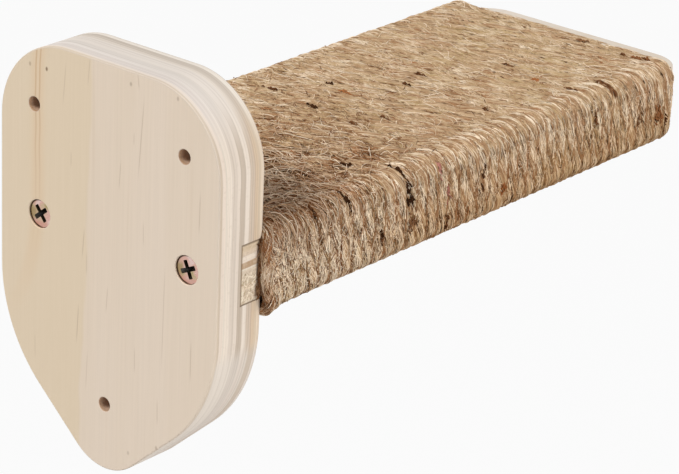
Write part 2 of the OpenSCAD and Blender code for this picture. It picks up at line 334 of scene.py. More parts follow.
def plate_plywood():
    tones = ((0.36, (0.716, 0.596, 0.472)), (0.5, (0.725, 0.607, 0.488)), (0.64, (0.732, 0.616, 0.502)))
    s, place, wood, fine, speck, layer_shade = plywood(
        "plate_plywood_grain", PLATE_PLIES, tones, 1, -1 / plate_t, 0.0, 2)
    x, y, z = s.split(place)
    back = s.span(y, -1.2 * MM, -0.4 * MM)
    share = s.times(y, -1 / plate_t)
    edge = s.times(s.minus(1.0, back), s.span(share, 0.985, 0.998, 1.0, 0.0))
    for plies, start, full in ((PLATE_TOP_PLIES, 40, 60), (PLATE_LOW_PLIES, -24, -31)):
        cut = s.times(edge, s.span(z, start * MM, full * MM))
        tone = s.mix(1.0, s.ramp(share, ply_stops(plies)), layer_shade, "MULTIPLY")
        wood = s.mix(cut, wood, tone)
    drift = s.span(s.noise(place, (0, 0, 22), detail=2), 0.2, 0.8, -1.6 * MM, 1.6 * MM)
    wavy = s.plus(x, drift)
    yellow_x = s.math("MULTIPLY_ADD", z, YELLOW_LEAN, wavy)
    yellow = s.times(s.span(yellow_x, YELLOW_X - 0.8 * MM, YELLOW_X + 0.8 * MM, 0.0, 0.92), back)
    wood = s.mix(yellow, wood, s.ramp(fine, ((0.3, (0.69, 0.562, 0.404)), (0.7, (0.712, 0.584, 0.43)))))
    low = s.math("MINIMUM", z, 0.0)
    swerve = s.times(s.times(low, low), STREAK_SWERVE)
    streak_x = s.minus(s.math("MULTIPLY_ADD", drift, -0.6, x), s.plus(swerve, STREAK_X))
    broad = s.span(s.size(streak_x), 1.2 * MM, 4.6 * MM, 0.4, 0.0)
    broad = s.times(broad, s.span(z, -46 * MM, 0.0))
    wood = s.mix(s.times(broad, back), wood, (0.69, 0.5, 0.32))
    rims = s.size(s.minus(s.size(streak_x), 0.9 * MM))
    rims = s.times(s.span(rims, 0.05 * MM, 0.55 * MM, 0.6, 0.0), s.span(z, -20 * MM, 56 * MM))
    wood = s.mix(s.times(rims, back), wood, (0.52, 0.33, 0.18))
    dark = 0.0
    for line in GRAIN_LINES:
        dark = s.most(dark, grain_line(s, x, z, line))
    wood = s.mix(s.times(dark, back), wood, (0.31, 0.19, 0.1))
    flat = s.join(x, 0.0, s.times(z, KNOT_SQUASH))
    knots = 0.0
    for knot_x, knot_z, strength in PIN_KNOTS:
        gap = s.distance(flat, (knot_x * MM, 0.0, KNOT_SQUASH * knot_z * MM))
        knots = s.most(knots, s.span(gap, 0.2 * MM, 0.75 * MM, strength, 0.0))
    wood = s.mix(s.times(knots, back), wood, (0.18, 0.11, 0.06))
    return finish_plywood(s, place, wood, fine, speck)


def board_plywood():
    tones = ((0.32, (0.66, 0.565, 0.465)), (0.5, (0.69, 0.605, 0.51)), (0.68, (0.72, 0.64, 0.55)))
    s, place, wood, fine, speck, _ = plywood(
        "board_plywood_grain", BOARD_PLIES, tones, 2, 1 / board_t, 0.5, 1)
    _, y, z = s.split(place)
    in_groove = s.span(y, plate_lo.y - 0.3 * MM, plate_lo.y + 0.3 * MM)
    low = s.times(in_groove, s.span(z, 1.0 * MM, -1.5 * MM, 0.25, 1.0))
    swirl = s.noise(place, (420, 520, 420), distortion=1.6)
    pale = s.times(s.span(swirl, 0.5, 0.36, 0.0, 0.8), low)
    wood = s.mix(pale, wood, (0.87, 0.76, 0.59))
    ring = s.span(s.size(s.minus(swirl, 0.55)), 0.0, 0.04, 0.9, 0.0)
    wood = s.mix(s.times(ring, low), wood, (0.4, 0.29, 0.15))
    speck_gap = s.distance(s.join(0.0, y, z), (0.0, SPECK_Y, SPECK_Z))
    wood = s.mix(s.span(speck_gap, 0.25 * MM, 0.55 * MM, 0.8, 0.0), wood, (0.25, 0.18, 0.09))
    # Painted shade along the joint lines where the board meets the groove's walls and floor
    painted_rim_shade = s.most(s.span(z, 9.5 * MM, 10.2 * MM), s.span(z, -9.9 * MM, -10.4 * MM))
    painted_rim_shade = s.most(painted_rim_shade, s.span(y, GROOVE_FLOOR_Y - 1.1 * MM, GROOVE_FLOOR_Y - 0.4 * MM))
    wood = s.mix(s.times(s.times(painted_rim_shade, in_groove), 0.85), wood, (0.17, 0.105, 0.05))
    return finish_plywood(s, place, wood, fine, speck)


# Jute

JUTE_BLACK = (0.042, 0.017, 0.007)
JUTE_DARK = (0.155, 0.064, 0.027)
JUTE_UMBER = (0.25, 0.13, 0.066)
JUTE_BROWN = (0.385, 0.216, 0.11)
JUTE_STRAW = (0.645, 0.46, 0.278)
JUTE_PALE = (0.99, 0.835, 0.645)
JUTE_RUST = (0.4, 0.16, 0.06)
JUTE_OCHRE = (0.54, 0.375, 0.175)
JUTE_PINK = (0.48, 0.215, 0.165)


def painted_shade_below(s, colour, place):
    """Painted shade: the near side is darker and more orange further from the plate, most of all low down."""
    _, y, z = s.split(place)
    away = s.span(y, -45 * MM, -110 * MM)
    low = s.times(s.span(z, 12 * MM, -10 * MM), away)
    return s.mix(low, colour, s.mix(1.0, colour, (0.84, 0.745, 0.635), "MULTIPLY"))


def jute_rope_finish():
    """Fibre streaks along each strand and stretches of other colours, with painted shade in the grooves, low
    on the near side and beside the plate.
    """
    s = Shader("jute_strands")
    lay = s.attribute("lay", "Vector")
    streak = s.noise(lay, (130, 34, 9.1), roughness=0.62)
    hair = s.noise(lay, (260, 81.6, 9.1), roughness=0.6)
    mixed = s.times(s.plus(streak, hair), 0.5)
    stops = ((0.36, JUTE_UMBER), (0.45, JUTE_BROWN), (0.54, JUTE_STRAW), (0.66, JUTE_PALE))
    colour = s.ramp(mixed, stops)
    patch = s.noise(lay, (60, 1.4, 9.1))
    colour = s.mix(s.span(patch, 0.55, 0.72, 0.0, 0.45), colour, (0.33, 0.205, 0.115))
    colour = s.mix(s.span(patch, 0.45, 0.3, 0.0, 0.35), colour, (0.69, 0.56, 0.36))
    # Painted shade in the valleys between strands and on the turns' hidden sides
    painted_groove_shade = s.times(s.attribute("groove"), s.span(streak, 0.3, 0.62, 1.0, 0.45))
    colour = s.mix(s.times(painted_groove_shade, 0.85), colour, (0.13, 0.058, 0.024))
    # Painted shade low on the near side, away from the plate
    colour = painted_shade_below(s, colour, s.position())
    # Painted shadow of the plate on top beside it, with browner fibres there
    colour = s.mix(s.attribute("shade"), colour, s.mix(1.0, colour, (0.3, 0.2, 0.14), "MULTIPLY"))
    return s.finish({
        "Base Color": colour,
        "Roughness": s.span(streak, 0.2, 0.8, 0.95, 0.8),
        "Specular IOR Level": 0.02,
        "Normal": s.bump(mixed, 0.9, 0.5 * MM),
    })


def jute_fibre_finish():
    """Loose fibres, each with its own tint, a few of them dyed rust or pink."""
    s = Shader("jute_loose_fibres")
    place = s.position()
    mottle = s.noise(place, 500, detail=2)
    shade = s.plus(s.attribute("tint"), s.span(mottle, 0.2, 0.8, -0.08, 0.08))
    colour = s.ramp(shade, (
        (0.04, JUTE_BLACK),
        (0.14, JUTE_DARK),
        (0.32, JUTE_BROWN),
        (0.62, JUTE_STRAW),
        (0.96, JUTE_PALE),
    ))
    dye = s.attribute("dye")
    dyed = s.mix(s.span(dye, 1.2, 1.8), JUTE_RUST, JUTE_PINK)
    colour = s.mix(s.span(dye, 0.0, 1.0), colour, dyed)
    colour = s.mix(s.span(dye, 0.0, -1.0), colour, JUTE_OCHRE)
    # Painted shade low on the near side, away from the plate
    colour = painted_shade_below(s, colour, place)
    return s.finish({
        "Base Color": colour,
        "Roughness": s.span(mottle, 0.2, 0.8, 0.9, 0.72),
        "Specular IOR Level": 0.02,
    })


# Metal

def yellow_zinc():
    """Plating that shimmers from pink to olive, with fine turning marks, a painted shadow along one side of
    the head's edge and painted shade in the cross recess.
    """
    s = Shader("yellow_zinc_plating")
    place = s.position()
    cloud = s.noise(place, 210, detail=2, distortion=0.8)
    colour = s.ramp(cloud, (
        (0.3, (0.4, 0.32, 0.15)),
        (0.38, (0.56, 0.42, 0.28)),
        (0.52, (0.66, 0.4, 0.33)),
        (0.66, (0.72, 0.54, 0.49)),
    ))
    x, _, z = s.split(place)
    left_axis, right_axis = SCREW_AXES
    aside = s.minus(x, s.span(x, -1 * MM, 1 * MM, left_axis.x, right_axis.x))
    above = s.minus(z, left_axis.y)
    level = s.span(s.size(s.plus(above, 0.5 * MM)), 1.0 * MM, 3.4 * MM, 0.85, 0.0)
    olive = s.times(level, s.span(aside, 1.2 * MM, 2.8 * MM))
    colour = s.mix(olive, colour, (0.34, 0.255, 0.11))
    colour = s.mix(s.span(above, -1.8 * MM, -3.8 * MM, 0.0, 0.7), colour, (0.56, 0.28, 0.21))
    # Painted shadow along the head's outer edge, on one side
    painted_rim_shade = s.span(s.distance(s.join(aside, 0.0, above), (0.0, 0.0, 0.0)), 4.25 * MM, 4.6 * MM)
    painted_rim_shade = s.times(painted_rim_shade, s.span(aside, -1.5 * MM, 1.0 * MM, 0.0, 0.92))
    colour = s.mix(painted_rim_shade, colour, (0.06, 0.032, 0.015))
    # Painted shade: the cross recess is coloured nearly black
    recess = s.attribute("recess")
    colour = s.mix(recess, colour, (0.026, 0.018, 0.009))
    scratch = s.noise(place, (2600, 300, 900))
    return s.finish({
        "Base Color": colour,
        "Metallic": s.span(recess, 0.0, 1.0, 1.0, 0.0),
        "Specular IOR Level": s.span(recess, 0.0, 1.0, 0.5, 0.22),
        "Roughness": s.span(scratch, 0.2, 0.8, 0.2, 0.38),
        "Normal": s.bump(scratch, 0.08, 0.05 * MM),
    })


def staple_wire():
    s = Shader("galvanised_wire")
    cloud = s.noise(s.position(), 700)
    return s.finish({
        "Base Color": s.ramp(cloud, ((0.3, (0.55, 0.56, 0.58)), (0.7, (0.72, 0.73, 0.75)))),
        "Metallic": 1.0,
        "Roughness": s.span(cloud, 0.2, 0.8, 0.3, 0.5),
        "Normal": s.bump(cloud, 0.1, 0.05 * MM),
    })


# Mesh helpers

def add_object(name, data):
    made = bpy.data.objects.new(name, data)
    bpy.context.scene.collection.objects.link(made)
    return made


def add_piece(name, mesh, material):
    """A new piece in the frame, riding on the part's one body."""
    piece = add_object(name, mesh)
    mesh.materials.clear()
    mesh.materials.append(material)
    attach(piece, "root")
    return piece


def quad_mesh(name, points, quads):
    """A smooth-shaded mesh of quads, from arrays."""
    mesh = bpy.data.meshes.new(name)
    mesh.vertices.add(len(points))
    mesh.vertices.foreach_set("co", np.asarray(points, np.float32).ravel())
    mesh.loops.add(quads.size)
    mesh.loops.foreach_set("vertex_index", np.asarray(quads, np.int32).ravel())
    mesh.polygons.add(len(quads))
    mesh.polygons.foreach_set("loop_start", np.arange(0, quads.size, quads.shape[1], dtype=np.int32))
    mesh.polygons.foreach_set("use_smooth", np.ones(len(quads), bool))
    mesh.update(calc_edges=True)
    mesh.validate()
    return mesh


def put_attribute(mesh, name, kind, values):
    layer = mesh.attributes.new(name, kind, "POINT")
    field = "vector" if kind == "FLOAT_VECTOR" else "value"
    layer.data.foreach_set(field, np.asarray(values, np.float32).ravel())


def welded_copy(node):
    """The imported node's mesh with its seams closed and its flat faces whole."""
    bm = bmesh.new()
    bm.from_mesh(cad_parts[node].data)
    bmesh.ops.remove_doubles(bm, verts=bm.verts, dist=WELD)
    bmesh.ops.dissolve_limit(bm, angle_limit=FLAT_ANGLE, verts=bm.verts, edges=bm.edges)
    return bm


def ease(bm, edges, width, segments):
    """Rounds edges over, and marks the new faces as eased."""
    layer = bm.faces.layers.float.get("arris") or bm.faces.layers.float.new("arris")
    made = bmesh.ops.bevel(
        bm, geom=edges, offset=width, offset_type="OFFSET", segments=segments, profile=0.5,
        affect="EDGES", clamp_overlap=True,
    )
    for face in made["faces"]:
        face[layer] = 1.0


def mark_faces(bm, name, value_of):
    """A face layer with a value for each face."""
    layer = bm.faces.layers.float.new(name)
    for face in bm.faces:
        face[layer] = value_of(face)


def wood_normals(bm):
    """A normal for each face corner: main faces keep their own and eased edges turn from one to the next."""
    eased = bm.faces.layers.float["arris"]
    limit = math.cos(SMOOTH_ANGLE)

    def main_normal(vert, towards):
        near = [f for f in vert.link_faces if not f[eased]]
        if not near:
            return None
        best = max(near, key=lambda f: f.normal.dot(towards))
        total = Vector()
        for f in near:
            if f.normal.dot(best.normal) > limit:
                total += f.normal * f.calc_area()
        return total.normalized()

    normals = []
    for face in bm.faces:
        for vert in face.verts:
            normal = main_normal(vert, face.normal)
            if normal is None:
                normal = sum((f.normal for f in vert.link_faces), Vector()).normalized()
            normals.append(normal)
    return normals


def finish_wood(bm, name):
    mesh = bpy.data.meshes.new(name)
    bm.normal_update()
    for face in bm.faces:
        face.smooth = True
    normals = wood_normals(bm)
    bm.to_mesh(mesh)
    bm.free()
    mesh.normals_split_custom_set(normals)
    return mesh


def sharp_edges(bm):
    return [e for e in bm.edges if len(e.link_faces) == 2 and e.calc_face_angle() > SHARP_ANGLE]


# Pieces

WALL_HOLE_R = 2.5 * MM
WELL_R = 4.95 * MM
# Axes of the plate's wall holes and of its screws: x, z
WALL_HOLES = ((33.0 * MM, 39.25 * MM), (-33.0 * MM, 39.25 * MM), (0.0, -57.5 * MM))
# How far each screw was turned on its axis, in degrees
SCREW_TURNS = {"assembly_screw_left": 25, "assembly_screw_right": 39}
SCREW_AXES = tuple((sum(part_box(node), Vector()) / 2).xz for node in SCREW_TURNS)


def in_hole(point, axes, reach):
    return any(math.hypot(point.x - x, point.z - z) < reach + HOLE_ARRIS for x, z in axes)


def bore_mark(face):
    """1 on the walls of the wall holes, a half on the walls of the screws' wells."""
    middle = face.calc_center_median()
    if abs(face.normal.y) > 0.5:
        return 0.0
    if in_hole(middle, WALL_HOLES, WALL_HOLE_R):
        return 1.0
    return 0.5 if in_hole(middle, SCREW_AXES, WELL_R) else 0.0


def make_plate(material):
    bm = welded_copy("back_plate")
    rims = []
    mouths = []
    for e in sharp_edges(bm):
        mid = (e.verts[0].co + e.verts[1].co) / 2
        if min(abs(mid.y - plate_hi.y), abs(mid.y - plate_lo.y)) > TOUCHING:
            continue
        if in_hole(mid, WALL_HOLES, WALL_HOLE_R) or in_hole(mid, SCREW_AXES, WELL_R):
            mouths.append(e)
        elif any(abs(abs(v.co.z) - GROOVE_HALF) > TOUCHING for v in e.verts):
            rims.append(e)
    ease(bm, rims, ARRIS, ARRIS_SEGMENTS)
    mouths = [e for e in mouths if e.is_valid]
    ease(bm, mouths, HOLE_ARRIS, HOLE_SEGMENTS)
    mark_faces(bm, "bore", bore_mark)
    mesh = finish_wood(bm, "plate_board")
    piece = add_piece("plywood_plate", mesh, material)
    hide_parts("back_plate")


def make_board(material):
    bm = welded_copy("tread_board")
    tip = [e for e in sharp_edges(bm) if all(v.co.y < board_lo.y + BARE_TIP for v in e.verts)]
    ease(bm, tip, ARRIS, ARRIS_SEGMENTS)
    mesh = finish_wood(bm, "tread")
    piece = add_piece("plywood_tread", mesh, material)
    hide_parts("tread_board")


# The way round the board: underside towards +X, up, over the top towards -X, down
FLAT_X = board_hi.x - BOARD_EDGE_R
FLAT_Z = board_hi.z - BOARD_EDGE_R
BEND_R = BOARD_EDGE_R + ROPE_REST + ROPE_H / 2
BEND_LENGTH = BEND_R * math.pi / 2
TURN_LENGTH = 4 * (FLAT_X + FLAT_Z + BEND_LENGTH)
ROPE_PITCH = (rope_hi.y - rope_lo.y) / ROPE_TURNS
ROPE_START_Y = rope_hi.y - ROPE_PITCH / 2
ROPE_START = FLAT_X + TAIL_X
ROPE_END = ROPE_TURNS * TURN_LENGTH + FLAT_X - TAIL_X

# Each leg of a turn: its length, its start, the angle of its outward side there and the angle it bends by
CORNERS = ((FLAT_X, -FLAT_Z), (FLAT_X, FLAT_Z), (-FLAT_X, FLAT_Z), (-FLAT_X, -FLAT_Z))
LEGS = []
for k, corner in enumerate(CORNERS):
    side = 90 * k - 90
    LEGS.append((2 * (FLAT_Z if k % 2 else FLAT_X), CORNERS[k - 1], side, 0))
    LEGS.append((BEND_LENGTH, corner, side, 90))


def wrap(distance, height):
    """Points x, z at a distance round the board and a height over it, and the outward x, z there."""
    d = np.mod(distance, TURN_LENGTH)
    x = np.zeros_like(d)
    z = np.zeros_like(d)
    angle = np.zeros_like(d)
    start = 0.0
    for length, (leg_x, leg_z), side, bend in LEGS:
        here = (d >= start) & (d <= start + length)
        gone = (d - start)[here]
        side_angle = math.radians(side)
        run = 0.0 if bend else gone
        x[here] = leg_x - math.sin(side_angle) * run
        z[here] = leg_z + math.cos(side_angle) * run
        angle[here] = side_angle + math.radians(bend) * gone / length
        start += length
    out_x = np.cos(angle)
    out_z = np.sin(angle)
    reach = BOARD_EDGE_R + ROPE_REST + height
    return x + out_x * reach, z + out_z * reach, out_x, out_z


def ripples(seed, count, reach_a, reach_b):
    """A smooth random field of two coordinates, about -1 to 1."""
    rng = np.random.default_rng(seed)
    turns_a = rng.uniform(-1, 1, count) * TAU / reach_a
    turns_b = rng.uniform(-1, 1, count) * TAU / reach_b
    phase = rng.uniform(0, TAU, count)

    def field(a, b):
        total = 0.0
        for ka, kb, p in zip(turns_a, turns_b, phase):
            total = total + np.sin(ka * a + kb * b + p)
        return total / math.sqrt(count / 2) / 1.6

    return field


def smoothstep(value):
    t = np.clip(value, 0.0, 1.0)
    return t * t * (3 - 2 * t)


side_drift = ripples(11, 9, 60 * MM, 7.0)
thickness_drift = ripples(12, 9, 35 * MM, 3.0)
mottle = ripples(13, 14, 16 * MM, 9 * MM)
warmth = ripples(14, 14, 22 * MM, 14 * MM)
patches = ripples(16, 20, 6 * MM, 4 * MM)
swirl = ripples(15, 16, 14 * MM, 10 * MM)

# Where the rope's faces start on the way round
TOP_START = 2 * FLAT_X + 2 * FLAT_Z + 2 * BEND_LENGTH
NEAR_START = TOP_START + 2 * FLAT_X + BEND_LENGTH

# Half the rope's width, pressed against its neighbours, and half its height
HALF_W = ROPE_OVERLAP * ROPE_PITCH / 2
HALF_H = ROPE_H / 2
# Angle between a strand and the rope, on the rope's outer side
STRAND_SLANT = math.atan(TAU * HALF_W / ROPE_LAY)
# The fibres on top lie more nearly across the board
TOP_SLANT = -0.07
BULGE = 2.7 * MM
BULGE_REACH = 5.5 * MM
BULGE_WIDTH = 3.5 * MM
OPEN_SECTION_POWER = 2.3
LEAN = 2.4 * MM
OUTER_LEAN = 2.2 * MM
CORNER_LEAN = 1.4 * MM
CORNER_REACH = 5.0 * MM
LEAN_REACH = 7.0 * MM
SHAGGY_REACH = 55 * MM
NEAR_CORNER = TURN_LENGTH - BEND_LENGTH / 2


def step_aside(d):
    """How far the rope has stepped on to the next turn: it does so under the board."""
    gone = np.mod(d, TURN_LENGTH) / (2 * FLAT_X)
    return smoothstep((gone - STEP_START) / STEP_SHARE)


def rope_y(d):
    """The rope's place along the board."""
    turn = np.floor(d / TURN_LENGTH)
    return ROPE_START_Y - ROPE_PITCH * (turn - 1 + step_aside(d))


def near_corner(d, reach):
    """1 at the near lower corner of a turn, fading to 0 within a reach."""
    gone = np.mod(d - NEAR_CORNER + TURN_LENGTH / 2, TURN_LENGTH) - TURN_LENGTH / 2
    return np.exp(-(gone / reach) ** 2)


def lean(d, y, height):
    """The first turns are squeezed out over the plate's near edge, most of all next to the board."""
    _, _, out_x, _ = wrap(d, 0.0)
    beside = np.minimum(out_x, 0.0) ** 2
    outer = np.clip(height / ROPE_H, 0.0, 1.3) ** 1.5
    reach = LEAN - OUTER_LEAN * outer + CORNER_LEAN * near_corner(d, CORNER_REACH)
    return reach * beside * np.exp((y - rope_hi.y) / LEAN_REACH)


def bulge(d, y):
    """The first turn stands out at the near lower corner."""
    return BULGE * near_corner(d, BULGE_REACH) * np.exp((y - rope_hi.y) / BULGE_WIDTH)


def squared(theta, power):
    """Reach of a rounded square at an angle, where a circle's is 1."""
    return (np.abs(np.sin(theta)) ** power + np.abs(np.cos(theta)) ** power) ** (-1 / power)


def turn_offset(d, y):
    """Place across the nearest turn: 0 on its middle line, 1 or -1 at its hidden sides."""
    aside = (ROPE_START_Y - y) / ROPE_PITCH - step_aside(d) + 1
    return (np.mod(aside + 0.5, 1.0) - 0.5) * ROPE_PITCH / HALF_W


def strand_crown(d, y):
    """How far up a strand's round the rope's surface is: 0 in the valley between strands, 1 on the crown."""
    theta = -np.arcsin(np.clip(turn_offset(d, y), -1.0, 1.0))
    around = theta / TAU + d / ROPE_LAY
    return np.abs(np.sin(math.pi * STRANDS * around)) ** CROWN_POWER


def rope_surface(d, y):
    """Height of the wound rope's surface over the board."""
    offset = np.abs(turn_offset(d, y))
    relief = STRAND_RELIEF * (strand_crown(d, y) - CROWN_MEAN)
    power = np.where(y > ROPE_START_Y, OPEN_SECTION_POWER, SECTION_POWER)
    return HALF_H * (1 + (1 - offset ** power) ** (1 / power) + relief) + bulge(d, y)


def make_rope(material):
    rings = int((ROPE_END - ROPE_START) / RING_STEP)
    along = np.linspace(ROPE_START, ROPE_END, rings)[:, None]
    columns = STRANDS * POINTS_PER_STRAND
    around = (np.arange(columns + 1) / columns)[None, :]
    d = along + 0 * around
    turn = np.floor(d / TURN_LENGTH)
    theta = TAU * around - TAU * d / ROPE_LAY
    crown = np.abs(np.sin(math.pi * STRANDS * around)) ** CROWN_POWER + 0 * d
    swell = 1 + 0.07 * thickness_drift(d, turn)
    open_side = (d < 1.5 * TURN_LENGTH) & (np.sin(theta) > 0)
    power = np.where(open_side, OPEN_SECTION_POWER, SECTION_POWER)
    reach = squared(theta, power) * (1 + STRAND_RELIEF * (crown - CROWN_MEAN)) * swell
    y = rope_y(d) + 0.35 * MM * side_drift(d, turn) + np.sin(theta) * reach * HALF_W
    y = np.minimum(y, rope_hi.y)
    height = HALF_H + np.cos(theta) * reach * HALF_H + bulge(d, y)
    x, z, out_x, _ = wrap(d, height)
    y = y + lean(d, y, height)
    points = np.stack([x, y, z], axis=-1).reshape(-1, 3)
    width = columns + 1
    here = np.arange(rings - 1)[:, None] * width + np.arange(columns)[None, :]
    quads = np.stack([here, here + 1, here + 1 + width, here + width], axis=-1).reshape(-1, 4)
    mesh = quad_mesh("jute_rope_strands", points, quads)
    lay = np.stack([d, around + 0 * d, turn * 0.37], axis=-1)
    put_attribute(mesh, "lay", "FLOAT_VECTOR", lay)
    # Painted shade: the groove attribute darkens the valleys between strands and the turns' hidden sides,
    # more on the upright sides than on top
    beside = np.abs(np.sin(theta)) ** 6 * np.where(open_side, 0.35, 1.0)
    valley = (1 - crown) ** 1.5
    upright = 0.35 + 0.65 * out_x ** 2
    put_attribute(mesh, "groove", "FLOAT", np.maximum(valley, beside) * upright)
    # Painted shadow of the plate on top beside it, with browner fibres there
    put_attribute(mesh, "shade", "FLOAT", plate_shadow_and_brown(np.mod(d, TURN_LENGTH), y))
    piece = add_piece("jute_rope_wound", mesh, material)
    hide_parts("jute_rope")


def fibre_mesh(name, paths, radii, tints, dyes):
    """Thin three-sided tubes along paths (fibre, point, xyz), drawn to a point at both ends."""
    count, points = paths.shape[:2]
    tangent = np.gradient(paths, axis=1)
    tangent /= np.linalg.norm(tangent, axis=2, keepdims=True) + 1e-12
    side = np.cross(tangent, UP + 0.01)
    side /= np.linalg.norm(side, axis=2, keepdims=True) + 1e-12
    lift = np.cross(side, tangent)
    taper = 0.25 + 0.75 * np.sin(np.linspace(0.12, math.pi - 0.12, points))
    reach = radii[:, None, None] * taper[None, :, None]
    rings = []
    for k in range(TUBE_SIDES):
        angle = TAU * k / TUBE_SIDES
        rings.append(paths + reach * (math.cos(angle) * side + math.sin(angle) * lift))
    verts = np.stack(rings, axis=2).reshape(-1, 3)
    rows = np.arange(count)[:, None, None] * points + np.arange(points - 1)[None, :, None]
    base = rows * TUBE_SIDES
    k = np.arange(TUBE_SIDES)[None, None, :]
    here = base + k
    there = base + (k + 1) % TUBE_SIDES
    quads = np.stack([here, there, there + TUBE_SIDES, here + TUBE_SIDES], axis=-1).reshape(-1, 4)
    mesh = quad_mesh(name, verts, quads)
    for field, values in (("tint", tints), ("dye", dyes)):
        put_attribute(mesh, field, "FLOAT", np.repeat(values, points * TUBE_SIDES))
    return mesh


class Draw:
    """Random values for a number of fibres."""

    def __init__(self, seed, count):
        self.rng = np.random.default_rng(seed)
        self.count = count

    def even(self, low, high):
        return self.rng.uniform(low, high, self.count)

    def mm(self, low, high):
        return self.even(low * MM, high * MM)

    def bell(self, mean, spread):
        return self.rng.normal(mean, spread, self.count)


def on_rope(d, y, height):
    """Points at distances round the board, along it and over it, with the first turns' lean."""
    x, z, _, _ = wrap(d, height)
    return np.stack([x, y + lean(d, y, height), z], axis=-1)


def fibre_paths(draw, start, y, heading, curl, reach, lift, float_up, points):
    """Paths on the rope's surface from middles at a distance round the board and a place along it."""
    sway = draw.even(0, TAU)[:, None]
    t = np.linspace(0.0, 1.0, points)[None, :]
    turn = heading[:, None] + curl[:, None] * (t - 0.5) + 0.2 * np.sin(sway + t * 5.0)
    step = reach[:, None] / (points - 1)
    d = start[:, None] + np.cumsum(np.cos(turn) * step, axis=1) - reach[:, None] / 2
    y = y[:, None] - np.cumsum(np.sin(turn) * step, axis=1) + reach[:, None] / 2 * np.sin(heading)[:, None]
    y = np.clip(y, rope_lo.y + 0.2 * MM, rope_hi.y - 0.3 * MM)
    hugging = rope_surface(d, y)
    height = hugging + float_up * (ROPE_H - hugging) - 0.05 * MM
    height = height + lift[:, None] * np.sin(math.pi * t) * (0.6 + 0.4 * np.sin(sway * 3 + t * 7))
    return on_rope(d, y, height)


def plate_shadow_and_brown(d, y):
    """Painted shadow of the plate on the rope's top, with browner fibres there: how dark the fibres are, and
    how much browner and warmer, beside the plate, 1 at most.
    """
    on_top = smoothstep((d - TOP_START - 5 * MM) / (40 * MM)) * smoothstep((NEAR_START - d) / (4 * MM))
    return on_top * np.exp((y - rope_hi.y) / (36 * MM))


def bend_share(d):
    """1 halfway round a bend of the rope, 0 on its flat runs."""
    _, _, out_x, out_z = wrap(d, 0.0)
    return 2 * np.abs(out_x * out_z)


def shagginess(y):
    """How shaggy the rope is: 1 beside the plate, fading out along the board."""
    return np.exp((y - rope_hi.y) / SHAGGY_REACH)


def lying_fibres(draw, face, slant, middle, spread, deep, bridging):
    """Fibres of the rope's surface, with painted shade in its valleys and the plate's painted shadow, with
    browner fibres, beside it.
    """
    d = draw.even(*face)
    y = draw.even(rope_lo.y + 1.0 * MM, rope_hi.y - 0.5 * MM)
    shaggy = shagginess(y)
    tangle = 1 + (1.5 + 1.5 * bridging) * shaggy
    heading = slant + 0.22 * swirl(d, y) + tangle * draw.bell(0.0, 0.28)
    curl = tangle * draw.bell(0.0, 0.6)
    reach = draw.mm(3.0, 9.0) * (1.0 - 0.35 * shaggy) * (1.0 - 0.5 * bend_share(d))
    lift = (0.4 + 1.6 * shaggy) * draw.mm(0.0, 0.25)
    paths = fibre_paths(draw, d, y, heading, curl, reach, lift, bridging, 5)
    valley = np.maximum(1 - strand_crown(d, y), np.abs(turn_offset(d, y)) ** 6)
    shadow_and_brown = plate_shadow_and_brown(d, y)
    tints = middle + 0.11 * mottle(d, y) + 0.16 * patches(d, y)
    tints = tints + draw.bell(0.0, spread) * (0.22 + 1.25 * shaggy)
    # Painted shade in the valleys, and the plate's painted shadow beside it, which also warms the dye
    tints = tints - deep * valley - 1.36 * shadow_and_brown
    dyes = -0.08 + 0.26 * warmth(d, y) + draw.bell(0.0, 0.22) + 0.7 * shadow_and_brown
    radii = draw.mm(0.09, 0.23) * (1.15 - 0.35 * shaggy)
    return paths, radii, np.clip(tints, 0.05, 1.0), np.clip(dyes, -0.6, 0.62)


# Fibres along the strands: lengths and radii in mm, mean tint, its spread and painted shade in the valleys
STRAND_KINDS = {
    "body": ((2.5, 6.5), (0.08, 0.2), 0.86, 0.3, 0.85),
    "crowns": ((3.5, 8.0), (0.09, 0.18), 0.84, 0.12, 0.0),
    "slits": ((1.5, 5.5), (0.1, 0.24), 0.2, 0.08, 0.0),
    "gaps": ((3.0, 9.0), (0.14, 0.3), 0.17, 0.07, 0.0),
}
STRAND_POINTS = 7


